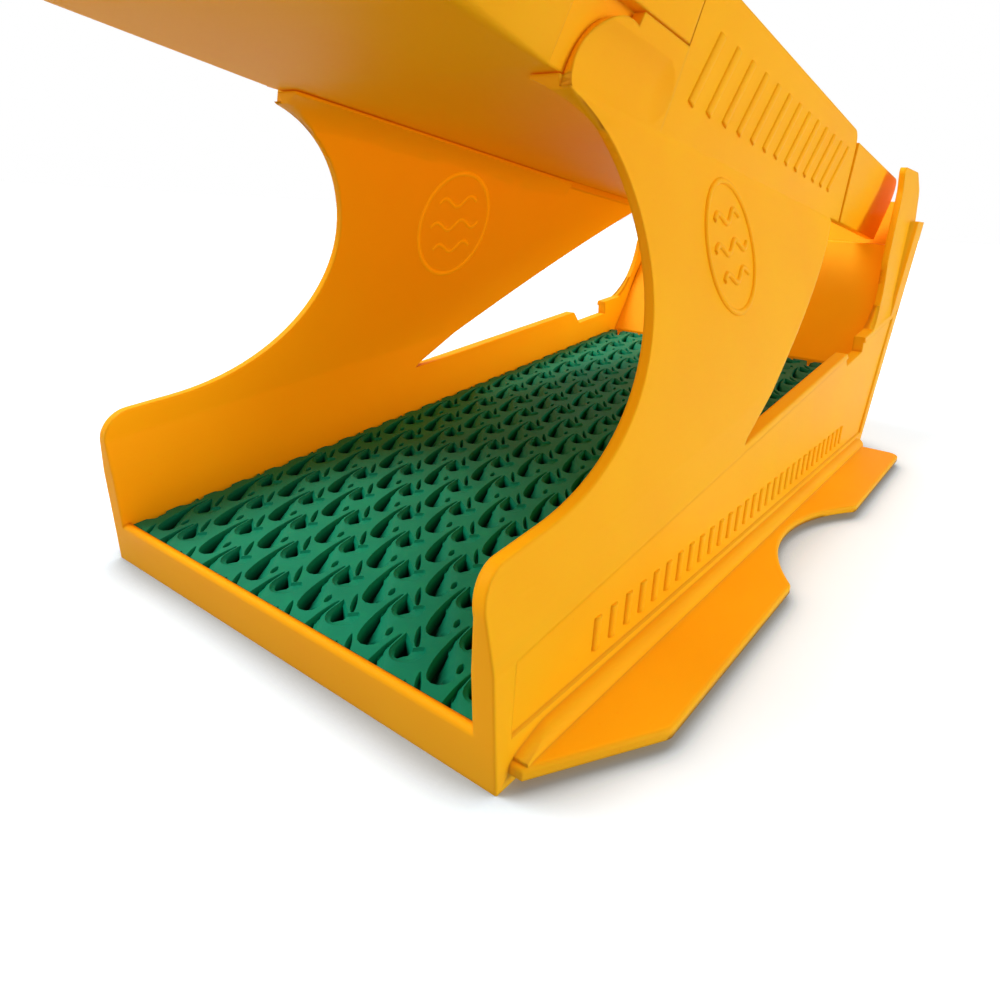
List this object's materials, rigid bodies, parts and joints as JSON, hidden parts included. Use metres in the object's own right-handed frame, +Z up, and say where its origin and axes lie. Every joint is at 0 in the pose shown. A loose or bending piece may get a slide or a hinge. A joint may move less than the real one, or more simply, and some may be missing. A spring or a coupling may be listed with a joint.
{
  "type": "sluice box",
  "caption": "Two-level switchback sluice: a wide channel whose walls rise as legs to carry a narrow lift-off upper deck, both lined with lift-out riffle mats.",
  "frame": {"origin": "on the ground, under the middle of the bounding box", "axes": "+X to the right, +Y from the front lip to the back wall, +Z up"},
  "size_m": [0.294, 0.6632, 0.2843],
  "materials": {
    "housing": "satin moulded plastic, slightly translucent",
    "mat": "matt moulded rubber"
  },
  "bodies": {
    "lower_sluice": {"lower_floor": "housing", "rear_panel": "housing", "back_wall": "housing", "left_wall": "housing", "right_wall": "housing", "left_leg": "housing", "right_leg": "housing", "left_cheek": "housing", "right_cheek": "housing", "left_shoulder": "housing", "right_shoulder": "housing", "left_seat": "housing", "right_seat": "housing", "left_ear": "housing", "right_ear": "housing", "left_wing": "housing", "right_wing": "housing"},
    "upper_deck": {"deck_floor": "housing", "deck_inlet": "housing", "deck_left_wall": "housing", "deck_right_wall": "housing"},
    "lower_riffle": {"lower_mat": "mat"},
    "upper_riffle": {"upper_mat": "mat"}
  },
  "joints": [
    {"name": "deck_lift", "type": "slide", "parent": "lower_sluice", "child": "upper_deck", "axis": [0, 0, 1], "range_m": [0, 0.12]},
    {"name": "upper_mat_lift", "type": "slide", "parent": "upper_deck", "child": "upper_riffle", "axis": [0, 0.0872, 0.9962], "range_m": [0, 0.08]},
    {"name": "lower_mat_lift", "type": "slide", "parent": "lower_sluice", "child": "lower_riffle", "axis": [0, -0.1175, 0.9931], "range_m": [0, 0.035]}
  ]
}
